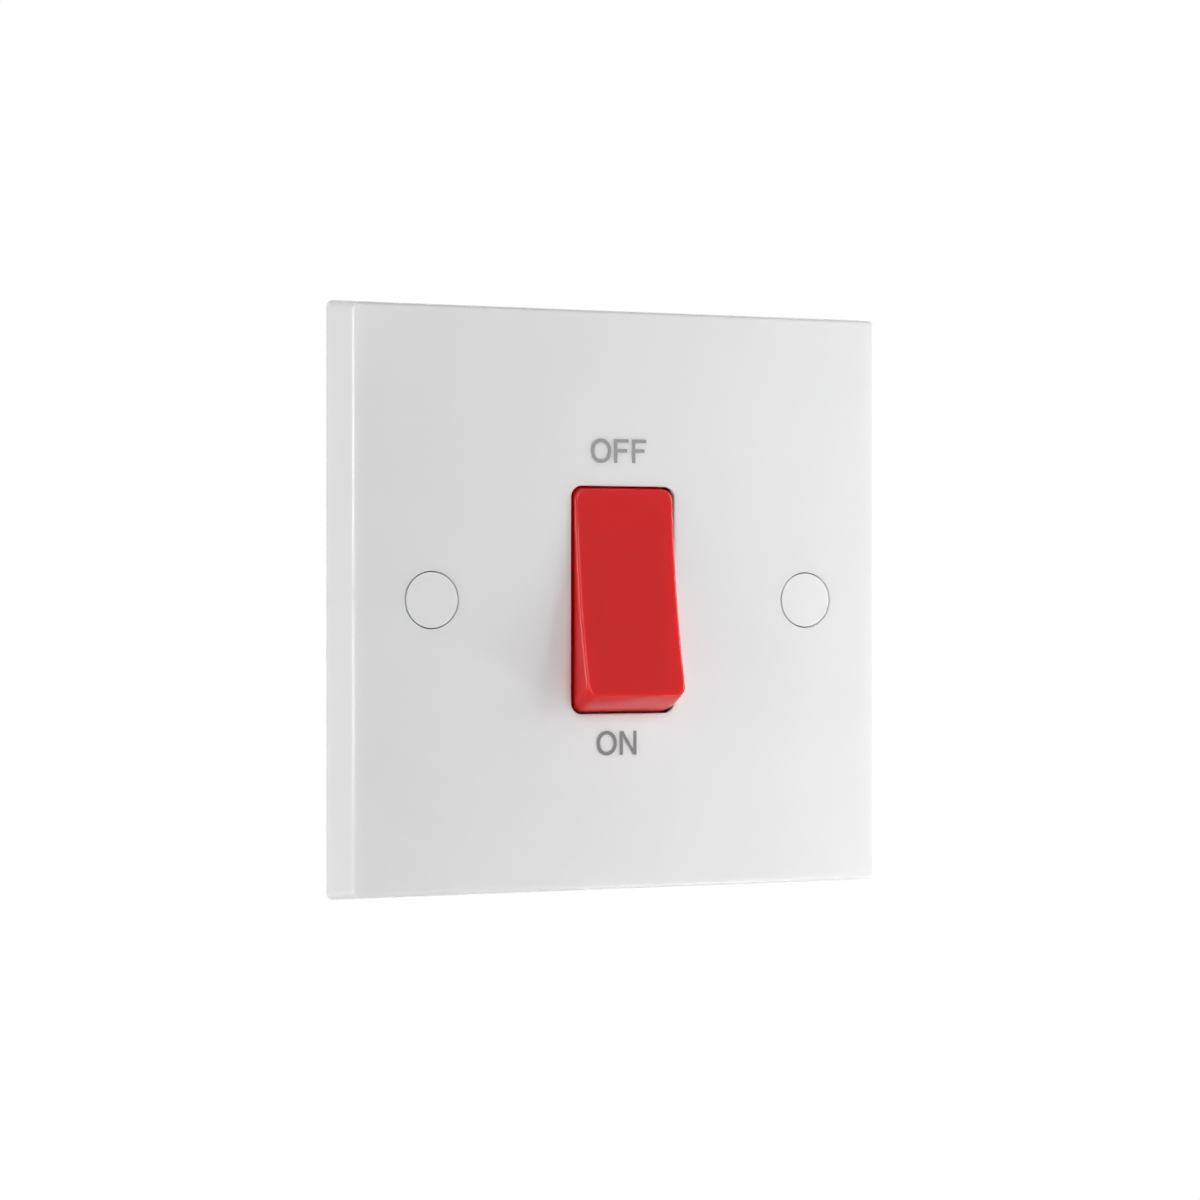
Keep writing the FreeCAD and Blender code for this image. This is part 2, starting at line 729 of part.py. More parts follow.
for word, side in SIDES.items():
    strip = on_side(side, pole_near, pole_far)
    bar_rear = -s.fulcrum_inset
    bar = block(f"lever_bar_{word}", strip, (bar_rear - s.lever_thickness, bar_rear),
                (-s.lever_lower, s.contact_height + s.lever_past_contact))
    groove = rod(f"lever_groove_{word}", "x", s.fulcrum_radius + s.fulcrum_gap,
                 (strip[0] - s.cut_past, strip[1] + s.cut_past), (0, 0))
    rivet_hole = rod(f"lever_rivet_hole_{word}", "y", s.rivet_shank + s.rivet_gap,
                     (bar_rear - s.lever_thickness * 2, 0), (side * s.pole_place, s.contact_height))
    lever = cut(f"contact_lever_{word}", bar, [groove, rivet_hole])
    lever.Placement = Placement(Vector(), Rotation(Vector(1, 0, 0), half_swing.number))
    bind(lever, "Placement.Base.y", fulcrum_y)
    bind(lever, "Placement.Rotation.Angle", half_swing)
    add_node(f"contact_lever_{word}", lever)

    rivet_y = fulcrum_y - s.fulcrum_inset * cosine(half_swing) - s.contact_height * sine(half_swing)
    rivet_z = s.contact_height * cosine(half_swing) - s.fulcrum_inset * sine(half_swing)
    moving = contact_rivet(f"moving_contact_{word}", s.lever_thickness,
                           (side * s.pole_place, rivet_y, rivet_z),
                           Rotation(Vector(1, 0, 0), half_swing.number - 90))
    bind(moving, "Placement.Rotation.Angle", half_swing - 90)
    add_node(f"moving_contact_{word}", moving)


# Feed straps with the fulcrum ridge, and load straps with the fixed contact

for word, side in SIDES.items():
    strip = on_side(side, pole_near, pole_far)
    feed_parts = [
        block(f"feed_tongue_{word}", strip, (feed_strap_y, feed_strap_y + s.strap_thickness),
              (-block_inner_z, s.strap_end)),
        block(f"feed_flange_{word}", strip, (feed_strap_y - s.strap_flange, feed_strap_y + s.strap_thickness),
              (-block_inner_z, s.strap_thickness - block_inner_z)),
        block(f"feed_ridge_stem_{word}", strip, (fulcrum_y, feed_strap_y + s.strap_thickness),
              (-s.fulcrum_radius, s.fulcrum_radius)),
        rod(f"feed_ridge_{word}", "x", s.fulcrum_radius, strip, (fulcrum_y, 0)),
    ]
    add_node(f"feed_strap_{word}", fuse(f"feed_strap_{word}", feed_parts))

    tongue = block(f"load_tongue_{word}", strip, (load_strap_y, load_strap_y + s.strap_thickness),
                   (s.contact_height - s.contact_seat, block_inner_z))
    flange = block(f"load_flange_{word}", strip, (load_strap_y, block_rear - s.pocket_gap),
                   (block_inner_z - s.strap_thickness, block_inner_z))
    strap = fuse(f"load_strap_blank_{word}", [tongue, flange])
    rivet_hole = rod(f"load_rivet_hole_{word}", "y", s.rivet_shank + s.rivet_gap,
                     (load_strap_y - s.cut_past, load_strap_y + s.strap_thickness + s.cut_past),
                     (side * s.pole_place, s.contact_height))
    add_node(f"load_strap_{word}", cut(f"load_strap_{word}", strap, [rivet_hole]))
    fixed = contact_rivet(f"fixed_contact_{word}", s.strap_thickness,
                          (side * s.pole_place, load_strap_y, s.contact_height), FACING_FRONT)
    add_node(f"fixed_contact_{word}", fixed)


# Brass pillar terminals with a cable bore along Z and a clamping screw from the back

def pillar(name, x, y, z, edge, bore, bore_y, screw_hole):
    """A terminal block; x, y and z are its spans, the bore runs along Z and the screw hole along Y."""
    blank = block(f"{name}_blank", x, y, z)
    rounded = round_edges(f"{name}_rounded", blank, edge, lambda a, b: True)
    centre_x = (x[0] + x[1]) / 2
    centre_z = (z[0] + z[1]) / 2
    bore_hole = rod(f"{name}_bore", "z", bore, (z[0] - s.cut_past, z[1] + s.cut_past), (centre_x, bore_y))
    clamp_hole = rod(f"{name}_screw_hole", "y", screw_hole, (bore_y, y[1] + s.cut_past), (centre_x, centre_z))
    return cut(name, rounded, [bore_hole, clamp_hole])


def slotted_screw(label, thread, reach, head_radius, head, slot, place):
    """A clamping screw from its tip at height 0 to its slotted head."""
    screw = turned(label, [(0, 0), (thread - s.clamp_bevel, 0), (thread, s.clamp_bevel), (thread, reach),
                           (head_radius, reach), (head_radius, reach + head), (0, reach + head)],
                   place, FACING_REAR)
    round_body(screw, f"{label}_edge", s.clamp_round,
               lambda a, b: same(a.z, (reach + head).number) and same(b.z, (reach + head).number))
    groove = new_sketch(screw, "XY_Plane", f"{label}_slot", reach + head)
    rectangle(groove, around(0, (head_radius + s.cut_past) * 2), around(0, slot))
    pocket(screw, groove, head / 2)
    return screw


for end_word, end in ENDS.items():
    for word, side in SIDES.items():
        name = f"{end_word}_terminal_{word}"
        terminal = pillar(name, around(side * terminal_x, s.block_width), (s.block_front, block_rear),
                          around(end * terminal_z, s.block_height), s.block_edge,
                          s.cable_radius, cable_y, s.clamp_radius + s.clamp_gap)
        add_node(name, terminal)
        place = (side * terminal_x, clamp_y, end * terminal_z)
        add_node(f"{end_word}_screw_{word}",
                 slotted_screw(f"{end_word}_screw_{word}", s.clamp_radius, clamp_seat - clamp_y,
                               s.clamp_head_radius, s.clamp_head, s.clamp_slot, place))

earth_bore_y = s.earth_bore_depth
earth_rear = earth_bore_y + s.earth_radius + s.earth_rear_wall
earth_terminal = pillar("earth_terminal", around(earth_x, s.earth_width), (web_y, earth_rear),
                        around(earth_z, s.earth_height), s.block_edge,
                        s.earth_radius, earth_bore_y, s.earth_clamp_radius + s.clamp_gap)
add_node("earth_terminal", earth_terminal)
earth_tip = earth_bore_y + s.earth_radius + s.clamp_tip
earth_seat = earth_rear + s.earth_clamp_travel + s.pocket_gap
add_node("earth_screw",
         slotted_screw("earth_screw", s.earth_clamp_radius, earth_seat - earth_tip, s.earth_head_radius,
                       s.earth_head, s.clamp_slot, (earth_x, earth_tip, earth_z)))


# Switch housing: one moulding with a chamber for the rocker, two pole chambers and four terminal pockets

case = block("housing_case", (-half_width, half_width), (housing_y, housing_rear),
             (-half_height, half_height))
case = round_edges("housing_rounded", case, s.housing_corner, lambda a, b: not same(a.y, b.y))
additions = [case]
cavities = [
    block("rocker_chamber", (-chamber_side, chamber_side), (housing_y - s.cut_past, s.block_front),
          (-chamber_end, chamber_end)),
]
collar_radius = s.clamp_head_radius + s.collar_gap
keeper_x = (ear_start + s.keeper_gap * 2, ear_end - s.keeper_gap * 2)
pocket_x = (terminal_x - s.block_width / 2 - s.pocket_gap,
            terminal_x + s.block_width / 2 + s.pocket_gap)
pocket_z = (block_inner_z - s.pocket_gap, block_outer_z + s.pocket_gap)
strap_back = feed_strap_y + s.strap_thickness + s.strap_seat
rivet_back = load_strap_y + s.strap_thickness + s.rivet_head + s.strap_seat
step_z = s.contact_height - s.contact_seat - s.pocket_gap
flange_z = block_inner_z - s.strap_thickness - s.pocket_gap
side_wall_x = chamber_side + ear_end - ear_start + s.housing_wall / 2
for word, side in SIDES.items():
    pad_y = (pivot_y + s.trunnion_radius + s.keeper_gap, housing_y + s.cut_past)
    additions.append(block(f"keeper_{word}", on_side(side, *keeper_x), pad_y,
                           (-s.trunnion_radius + s.keeper_gap, s.trunnion_radius - s.keeper_gap)))
    pole_x = on_side(side, s.barrier / 2, chamber_side)
    cavities += [
        block(f"pole_chamber_{word}", pole_x, (housing_y, strap_back), (-pocket_z[0] - s.cut_past, step_z)),
        block(f"contact_chamber_{word}", pole_x, (housing_y, rivet_back), (step_z - s.cut_past, flange_z)),
        block(f"flange_chamber_{word}", pole_x, (housing_y, block_rear),
              (flange_z - s.cut_past, pocket_z[0] + s.cut_past)),
        block(f"side_cavity_{word}", on_side(side, side_wall_x, half_width - s.housing_wall),
              (housing_y - s.cut_past, housing_rear - s.housing_wall),
              around(0, (pocket_z[0] - s.housing_wall) * 2)),
    ]
    for end_word, end in ENDS.items():
        spot = f"{end_word}_{word}"
        centre = (side * terminal_x, end * terminal_z)
        additions.append(rod(f"collar_{spot}", "y", collar_radius + s.collar_wall,
                             (housing_rear - s.housing_wall, collar_rear), centre))
        cavities += [
            block(f"terminal_pocket_{spot}", on_side(side, *pocket_x),
                  (housing_y - s.cut_past, block_rear + s.pocket_gap), on_side(end, *pocket_z)),
            rod(f"screw_access_{spot}", "y", collar_radius, (block_rear, collar_rear + s.cut_past), centre),
            rod(f"cable_entry_{spot}", "z", s.cable_radius + s.cable_entry,
                on_side(end, block_outer_z, half_height + s.cut_past), (side * terminal_x, cable_y)),
        ]
        post = (side * post_x, end * post_z)
        cavities += [
            rod(f"post_hole_{spot}", "y", s.tapping_radius + s.tapping_pass,
                (housing_y - s.cut_past, s.tapping_seat + s.cut_past), post),
            rod(f"post_counterbore_{spot}", "y", s.tapping_head_radius + s.tapping_head_gap,
                (s.tapping_seat, housing_rear + s.cut_past), post),
        ]
housing = cut("switch_housing", fuse("housing_blank", additions), cavities)
add_node("switch_housing", housing)


def cross_headed(label, profile, top, width, depth, reach, place, turn):
    """A screw with a cross recess sunk into its top."""
    screw = turned(label, profile, place, turn)
    for letter, (along, across) in {"a": (reach, width), "b": (width, reach)}.items():
        recess = new_sketch(screw, "XY_Plane", f"{label}_recess_{letter}", top)
        rectangle(recess, around(0, along), around(0, across))
        pocket(screw, recess, depth)
    return screw


tapping_tip = face_y + s.post_web + s.tapping_end
tapping_length = s.tapping_seat - tapping_tip
tapping_top = tapping_length + s.tapping_head
tapping_profile = [
    (0, 0), (s.tapping_radius / 2, 0), (s.tapping_radius, s.tapping_radius / 2),
    (s.tapping_radius, tapping_length), (s.tapping_head_radius, tapping_length),
    (s.tapping_head_radius, tapping_length + s.tapping_head / 2),
    (s.tapping_crown, tapping_top), (0, tapping_top),
]
for end_word, end in {"bottom": -1, "top": 1}.items():
    for word, side in SIDES.items():
        label = f"housing_screw_{end_word}_{word}"
        screw = cross_headed(label, tapping_profile, tapping_top, s.cross_width, s.cross_depth,
                             s.tapping_head_radius, (side * post_x, tapping_tip, end * post_z),
                             FACING_REAR)
        add_node(label, screw)


# Wall fixing screws, seated in the bosses with their heads hidden by the push-in caps

screw_end = s.fixing_length - s.head_seat
head_top = s.head_seat + s.fixing_head
fixing_profile = [
    (0, -head_top), (s.fixing_head_radius, -head_top), (s.fixing_head_radius, -s.head_seat),
    (s.fixing_neck, -s.head_seat), (s.fixing_neck, s.fixing_neck_end),
    (s.fixing_thread, s.fixing_neck_end), (s.fixing_thread, screw_end - s.fixing_point),
    (s.fixing_thread - s.fixing_point, screw_end), (0, screw_end),
]
cap_back = s.plate_depth - s.cap_thickness
leg_end = cap_back - s.cap_leg
leg_inner = s.cap_radius - s.cap_leg_wall
cap_profile = [
    (0, cap_back), (leg_inner, cap_back), (leg_inner, leg_end), (s.cap_radius, leg_end),
    (s.cap_radius, s.plate_depth), (0, s.plate_depth),
]
for word, side in SIDES.items():
    label = f"fixing_screw_{word}"
    screw = turned(label, fixing_profile, (side * fixing_x, 0, 0), FACING_REAR)
    slot = new_sketch(screw, "XY_Plane", f"{label}_slot", -head_top)
    rectangle(slot, around(0, (s.fixing_head_radius + s.cut_past) * 2), around(0, s.clamp_slot))
    pocket(screw, slot, s.fixing_head / 2, reverse=True)
    add_node(label, screw)

    label = f"cap_{word}"
    cap = turned(label, cap_profile, (side * fixing_x, 0, 0), FACING_FRONT)
    round_body(cap, f"{label}_edge", s.cap_edge,
               lambda a, b: same(a.z, s.plate_depth.number) and same(b.z, s.plate_depth.number))
    for letter, (wide, tall) in {"a": (s.cap_leg_slot, s.cap_radius * 2 + s.cut_past),
                                 "b": (s.cap_radius * 2 + s.cut_past, s.cap_leg_slot)}.items():
        gap = new_sketch(cap, "XY_Plane", f"{label}_leg_gap_{letter}", leg_end)
        rectangle(gap, around(0, wide), around(0, tall))
        pocket(cap, gap, s.cap_leg, reverse=True)
    add_node(label, cap)


# Check every object, then write one file for each piece

doc.recompute()
failed = [thing.Name for thing in doc.Objects if {"Invalid", "Error"} & set(thing.State)]
if failed:
    raise RuntimeError(f"these objects failed: {failed}")
for label, solid in nodes.items():
    if solid.Shape.isNull() or not solid.Shape.isValid() or len(solid.Shape.Solids) != 1:
        raise RuntimeError(f"{label} is not one valid solid")

os.makedirs("parts", exist_ok=True)
for label, solid in nodes.items():
    solid.Shape.exportStep(f"parts/{label}.step")
    print(f"{label}: {solid.Shape.Volume:.1f} cubic mm")
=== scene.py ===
# %% [markdown]
# # A cooker switch on its white plate
#
# The object is a one-gang wall switch for a cooker: a square white moulding, a red rocker, two flush caps
# over the fixing screws, and behind the plate a dark housing with brass terminals. The frame gives every
# CAD piece in metres, already in its place. Pieces with the right shape are kept and get a finish. What the
# solids leave out is modelled here: the printed words, the screw threads and the small marks that a
# moulding tool leaves.

# %% Load the frame and measure it
import json
import math
import bmesh
import bpy
from mathutils import Matrix, Vector


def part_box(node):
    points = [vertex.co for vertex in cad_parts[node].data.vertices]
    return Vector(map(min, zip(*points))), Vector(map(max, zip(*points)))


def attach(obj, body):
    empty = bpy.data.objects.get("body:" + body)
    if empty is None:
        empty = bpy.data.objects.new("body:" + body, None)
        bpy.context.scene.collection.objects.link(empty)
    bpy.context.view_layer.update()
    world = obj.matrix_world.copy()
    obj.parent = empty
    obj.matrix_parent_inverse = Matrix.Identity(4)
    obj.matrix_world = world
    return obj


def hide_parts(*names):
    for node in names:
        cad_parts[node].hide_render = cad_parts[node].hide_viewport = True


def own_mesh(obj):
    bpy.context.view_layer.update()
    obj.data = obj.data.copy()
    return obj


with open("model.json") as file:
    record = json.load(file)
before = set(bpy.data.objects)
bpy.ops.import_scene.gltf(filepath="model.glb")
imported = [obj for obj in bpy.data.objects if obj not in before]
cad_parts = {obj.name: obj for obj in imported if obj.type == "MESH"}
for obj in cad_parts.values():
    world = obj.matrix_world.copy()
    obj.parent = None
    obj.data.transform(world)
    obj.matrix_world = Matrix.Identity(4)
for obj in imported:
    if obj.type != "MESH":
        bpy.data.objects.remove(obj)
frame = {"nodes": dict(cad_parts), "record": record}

nodes = frame["nodes"]
record = frame["record"]
body_of_node = {n: body for body, names in record["behaviour"]["bodies"].items() for n in names}
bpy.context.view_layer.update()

MM = 0.001
FACE_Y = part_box("faceplate")[0].y
print("the plate's face is at y =", round(FACE_Y / MM, 2), "mm")

# %% [markdown]
# ## The camera
# The photograph looks at the plate level with its centre and from about 25 degrees to its left, so that the
# left side shows as a narrow band. A camera could be turned by eye until the picture fits. Here its place
# comes from the plate's four corners in the photograph, which fix the angle, the distance and the lens
# together.

# %% Place the camera
CAMERA_TURN = math.radians(24.85)
CAMERA_REACH = 0.5122
CAMERA_AIM = Vector((0.00018, 0, 0))

camera_data = bpy.data.cameras.new("camera")
camera_data.lens = 103.53
camera_data.sensor_width = 36
camera_data.clip_start = 0.01
camera = bpy.data.objects.new("camera", camera_data)
camera.location = CAMERA_AIM - CAMERA_REACH * Vector((math.sin(CAMERA_TURN), math.cos(CAMERA_TURN), 0))
camera.rotation_euler = (math.pi / 2, 0, -CAMERA_TURN)
bpy.context.scene.collection.objects.link(camera)
bpy.context.scene.camera = camera
bpy.context.scene.view_settings.view_transform = "Standard"
print("camera at", [round(v, 4) for v in camera.location])

# %% [markdown]
# ## A helper for finishes
# Every finish below is a Principled shader with a few patterns plugged into it. Written node by node that
# is long, so this helper keeps the repeated parts: noise on the piece's own coordinates, a colour mixed by
# a pattern, a number spread over a range, and a bump. Object coordinates are in metres, so a noise scale of
# 1000 has features of about a millimetre.

# %% Define the helper for finishes
class Finish:
    """A material with one Principled shader, and short calls for the patterns that feed it."""

    def __init__(self, name, **constants):
        self.material = bpy.data.materials.new(name)
        self.material.use_nodes = True
        self.tree = self.material.node_tree
        self.shader = self.tree.nodes["Principled BSDF"]
        self.coordinates = self.tree.nodes.new("ShaderNodeTexCoord").outputs["Object"]
        for socket, value in constants.items():
            self.shader.inputs[socket.replace("_", " ")].default_value = value

    def node(self, kind, links=(), **settings):
        made = self.tree.nodes.new(kind)
        for key, value in settings.items():
            setattr(made, key, value)
        for socket, source in dict(links).items():
            if isinstance(source, bpy.types.NodeSocket):
                self.tree.links.new(source, made.inputs[socket])
            else:
                made.inputs[socket].default_value = source
        return made

    def stretched(self, scale):
        """The piece's coordinates, stretched for a pattern with a direction."""
        mapping = self.node("ShaderNodeMapping", {"Vector": self.coordinates, "Scale": scale})
        return mapping.outputs["Vector"]

    def noise(self, scale, detail=2.0, rough=0.5, at=None):
        return self.node("ShaderNodeTexNoise", {"Vector": at or self.coordinates, "Scale": scale,
                                                "Detail": detail, "Roughness": rough}).outputs["Fac"]

    def spread(self, pattern, low, high, start=0.3, end=0.7):
        """A pattern's middle range, spread over low to high."""
        return self.node("ShaderNodeMapRange", {"Value": pattern, "From Min": start, "From Max": end,
                                                "To Min": low, "To Max": high}).outputs["Result"]

    def blend(self, pattern, first, second):
        """One colour, or colour pattern, where the pattern is 0, and another where it is 1."""
        mix = self.node("ShaderNodeMix", {0: pattern, 6: first, 7: second}, data_type="RGBA")
        return mix.outputs[2]

    def colours(self, pattern, first, second):
        return self.blend(pattern, (*first, 1), (*second, 1))

    def bump(self, height, distance, under=None):
        links = {"Height": height, "Distance": distance, "Strength": 1.0}
        if under:
            links["Normal"] = under
        return self.node("ShaderNodeBump", links).outputs["Normal"]

    def plug(self, **sources):
        for socket, source in sources.items():
            self.tree.links.new(source, self.shader.inputs[socket.replace("_", " ")])
        return self


# %% [markdown]
# ## Moulded plastic
# The plate is white urea, pressed in a polished tool. Close up such a face isn't a mirror: it has a very
# fine orange peel, long soft waves where the tool was polished, and now and then a dark speck. The colour
# hardly varies, so the variation stays near one percent. The rocker is the same kind of plastic in red, and
# the caps are softer plugs of a denser white.
#
# Both let some light in, and it comes out again a millimetre or so away. That is why the photographed plate
# darkens softly towards its edges, and why the rocker glows along its thin right-hand side. Plain paint
# would keep every edge hard, so both plastics scatter light below the surface; the red one lets only red
# travel far. The thin marks that are added to the plate's back take a finish with hardly any depth, because
# a disc of a tenth of a millimetre would lose the light through its underside and turn dark.

# %% Make the white and red plastics
def moulded(name, light, dark, roughness, speck, **constants):
    """A glossy moulded plastic: nearly one colour, with a fine skin and a few specks of pigment."""
    plastic = Finish(name, Subsurface_Weight=1.0, **constants)
    cloud = plastic.spread(plastic.noise(55, detail=3), 0, 1)
    grain = plastic.noise(5200, detail=2)
    spots = plastic.spread(plastic.noise(900, detail=1), 0, 1, start=0.86, end=0.90)
    colour = plastic.colours(cloud, light, dark)
    colour = plastic.blend(plastic.spread(grain, 0, 0.5), colour, (*dark, 1))
    colour = plastic.blend(spots, colour, (*speck, 1))
    peel = plastic.bump(plastic.noise(2600, detail=3), 0.0000045)
    waves = plastic.bump(plastic.noise(120, detail=1), 0.00004, peel)
    return plastic.plug(Base_Color=colour, Roughness=plastic.spread(plastic.noise(700, detail=4), *roughness),
                        Normal=waves)


WHITE_KIND = {"speck": (0.60, 0.59, 0.57), "Specular_IOR_Level": 0.4, "Subsurface_Radius": (1.0, 0.95, 0.9)}

white_plastic = moulded("white urea", light=(0.80, 0.80, 0.806), dark=(0.775, 0.776, 0.782),
                        roughness=(0.10, 0.16), Subsurface_Scale=0.0014, **WHITE_KIND)
cap_plastic = moulded("white cap plastic", light=(0.81, 0.81, 0.816), dark=(0.79, 0.79, 0.796),
                      roughness=(0.12, 0.18), Subsurface_Scale=0.0006, **WHITE_KIND)
red_plastic = moulded("red urea", light=(0.68, 0.010, 0.011), dark=(0.62, 0.008, 0.009),
                      roughness=(0.06, 0.10), speck=(0.42, 0.006, 0.007), Specular_IOR_Level=0.24,
                      Subsurface_Scale=0.003, Subsurface_Radius=(1.0, 0.08, 0.05))
thin_plastic = moulded("white urea in thin marks", light=(0.74, 0.74, 0.745), dark=(0.72, 0.72, 0.726),
                       roughness=(0.14, 0.20), Subsurface_Scale=0.0001, **WHITE_KIND)
plastics = (white_plastic, cap_plastic, red_plastic, thin_plastic)
print("plastics:", [plastic.material.name for plastic in plastics])

# %% [markdown]
# The housing is pressed from a dark thermoset filled with glass and mineral powder. It is duller than the
# plate, its colour is mottled in the flow of the press, and pale fibres show at the surface. A speckle of
# two sizes and a coarser bump are enough for that.

# %% Make the dark housing plastic and the nylon
thermoset = Finish("dark thermoset", Specular_IOR_Level=0.45)
flow_noise = thermoset.noise(90, detail=4, at=thermoset.stretched((1, 1, 0.35)))
fibre_noise = thermoset.noise(2600, detail=2, at=thermoset.stretched((1, 0.4, 1)))
flow = thermoset.spread(flow_noise, 0, 1)
fibres = thermoset.spread(fibre_noise, 0, 1, start=0.62, end=0.74)
housing_colour = thermoset.colours(flow, (0.060, 0.061, 0.064), (0.085, 0.086, 0.089))
housing_colour = thermoset.blend(fibres, housing_colour, (0.17, 0.17, 0.17, 1))
pits = thermoset.bump(thermoset.noise(3200, detail=3), 0.000012)
thermoset.plug(Base_Color=housing_colour,
               Roughness=thermoset.spread(thermoset.noise(500, detail=3), 0.42, 0.62),
               Normal=thermoset.bump(thermoset.noise(220, detail=2), 0.00003, pits))

nylon = Finish("natural nylon", Subsurface_Weight=0.25, Subsurface_Scale=0.0008)
nylon_cloud = nylon.spread(nylon.noise(700, detail=3), 0, 1)
nylon.plug(Base_Color=nylon.colours(nylon_cloud, (0.74, 0.72, 0.64), (0.68, 0.655, 0.57)),
           Roughness=nylon.spread(nylon.noise(1500, detail=2), 0.34, 0.48),
           Normal=nylon.bump(nylon.noise(3000, detail=2), 0.000006))
print("dull finishes:", thermoset.material.name, "and", nylon.material.name)

# %% [markdown]
# ## Metals
# Each metal is told apart by three things: its tint, the direction of its working marks and how it
# tarnishes. The terminals are brass bar with fine lines from drawing. The levers are rolled copper strip,
# streaked along its length. Screws are zinc plated, which is pale, a little cloudy and grainy. One helper
# takes a tint, a tarnish and a direction, and makes them all.

# %% Make the metals
PATCHES_PER_METRE = 320


def metal(name, tint, tarnish, roughness, marks, mark_scale, mark_depth):
    """A worked metal: tarnish in soft patches, and fine lines in the direction that `marks` stretches."""
    alloy = Finish(name, Metallic=1.0)
    patches = alloy.spread(alloy.noise(PATCHES_PER_METRE, detail=4, rough=0.6), 0, 1, start=0.38, end=0.72)
    lines = alloy.noise(mark_scale, detail=3, at=alloy.stretched(marks))
    colour = alloy.colours(patches, tint, tarnish)
    scratches = alloy.bump(lines, mark_depth)
    dulled = alloy.spread(patches, 0, 0.12, start=0, end=1)
    rough = alloy.node("ShaderNodeMath", {0: dulled, 1: alloy.spread(lines, *roughness)}, operation="ADD")
    return alloy.plug(Base_Color=colour, Roughness=rough.outputs[0],
                      Normal=alloy.bump(alloy.noise(1800, detail=2), 0.000004, scratches))


brass = metal("drawn brass", (0.80, 0.60, 0.27), (0.58, 0.40, 0.17), (0.22, 0.36),
              marks=(1, 1, 0.06), mark_scale=6000, mark_depth=0.000006)
copper = metal("rolled copper", (0.86, 0.50, 0.33), (0.62, 0.30, 0.17), (0.20, 0.34),
               marks=(1, 1, 0.05), mark_scale=5000, mark_depth=0.000005)
silver = metal("silver alloy", (0.86, 0.85, 0.82), (0.66, 0.63, 0.57), (0.20, 0.32),
               marks=(1, 1, 1), mark_scale=3500, mark_depth=0.000004)
zinc = metal("zinc plate", (0.62, 0.63, 0.64), (0.46, 0.46, 0.45), (0.22, 0.36),
             marks=(1, 1, 1), mark_scale=2400, mark_depth=0.000006)
spring_steel = metal("spring wire", (0.52, 0.52, 0.53), (0.38, 0.37, 0.36), (0.24, 0.38),
                     marks=(1, 0.2, 1), mark_scale=5200, mark_depth=0.000004)
print("metals:", [alloy.material.name for alloy in (brass, copper, silver, zinc, spring_steel)])

# %% [markdown]
# ## Every CAD piece takes its finish
# The record says which material slot each CAD piece has, so the finishes are handed out by slot and no
# piece is missed. Naming the pieces one by one would work too, but a new piece would then stay grey. The
# two caps are the exception: they are soft plugs of a denser white, because a thin disc of the plate's own
# plastic would lose light through its back and look greyer than the plate around it.

# %% Hand out the finishes
FINISHES = {
    "white_plastic": white_plastic, "red_plastic": red_plastic, "grey_thermoset": thermoset, "nylon": nylon,
    "brass": brass, "copper": copper, "silver_contact": silver, "plated_steel": zinc,
    "spring_steel": spring_steel,
}
slot_of_node = {part["node"]: part["material_slot"] for part in record["subparts"]}
for name, piece in nodes.items():
    piece.data.materials.clear()
    finish = cap_plastic if name.startswith("cap_") else FINISHES[slot_of_node[name]]
    piece.data.materials.append(finish.material)
print(len(nodes), "CAD pieces with", len(set(slot_of_node.values())) + 1, "finishes")


# %% [markdown]
# ## A helper for new pieces
# Each new piece is drawn in millimetres, where the numbers are easy to read, and scaled to metres when it
# becomes an object. Its normals are recalculated at the end, because spinning and mirroring can turn a
# shape inside out. Round forms are shaded smooth, but a face that lies square on the Y axis, such as a
# screw head's top, is kept flat: shaded smooth it would take its rim's slope and bend the reflections.

# %% Define the helper for new pieces
SQUARE_ON = 0.9999
WELD = 0.0005


def new_piece(name, shape, finish, body, smooth=None):
    """Turns a bmesh in millimetres into an object at the origin that rides on a body."""
    bmesh.ops.remove_doubles(shape, verts=shape.verts, dist=WELD)
    bmesh.ops.recalc_face_normals(shape, faces=shape.faces)
    bmesh.ops.scale(shape, vec=(MM, MM, MM), verts=shape.verts)
    mesh = bpy.data.meshes.new(name)
    shape.to_mesh(mesh)
    shape.free()
    mesh.materials.append(finish.material)
    piece = bpy.data.objects.new(name, mesh)
    bpy.context.scene.collection.objects.link(piece)
    if smooth:
        mesh.shade_smooth()
        mesh.set_sharp_from_angle(angle=math.radians(smooth))
        for face in mesh.polygons:
            face.use_smooth = abs(face.normal.y) < SQUARE_ON
    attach(piece, body)
    print(name, "-", len(mesh.polygons), "faces")
    return piece


# %% [markdown]
# ## The printed words
# OFF stands above the rocker and ON below it, pad printed in grey in a plain sans-serif. A font would be
# the quick way, but it would have to be found on every computer, and its proportions aren't these. A letter
# is only a few strokes, so each is drawn flat from its measured width and height. Straight letters are one
# face from their corners. The O is two rings bridged, pushed a very little towards a box, as this kind of
# lettering has it. A thin extrusion makes the ink stand 0.02 mm proud. Pad printing varies from one stamp
# to the next: in the photograph the ink of ON is clearly darker than that of OFF, so each word has its own.

# %% Draw the letters
INK_TOP = FACE_Y / MM - 0.02
INK_FOOT = FACE_Y / MM + 0.01
STROKE = 0.52


def ink(shape, faces):
    """Gives flat letter faces the thickness of the ink."""
    grown = bmesh.ops.extrude_face_region(shape, geom=faces)["geom"]
    raised = [v for v in grown if isinstance(v, bmesh.types.BMVert)]
    bmesh.ops.translate(shape, vec=(0, INK_TOP - INK_FOOT, 0), verts=raised)


def straight_letter(shape, corners, left, foot, width, height):
    """A letter of straight strokes. A corner is a share of the width plus strokes, then the same upwards."""
    spots = [shape.verts.new((left + u * width + su * STROKE, INK_FOOT, foot + v * height + sv * STROKE))
             for u, su, v, sv in corners]
    ink(shape, [shape.faces.new(spots)])


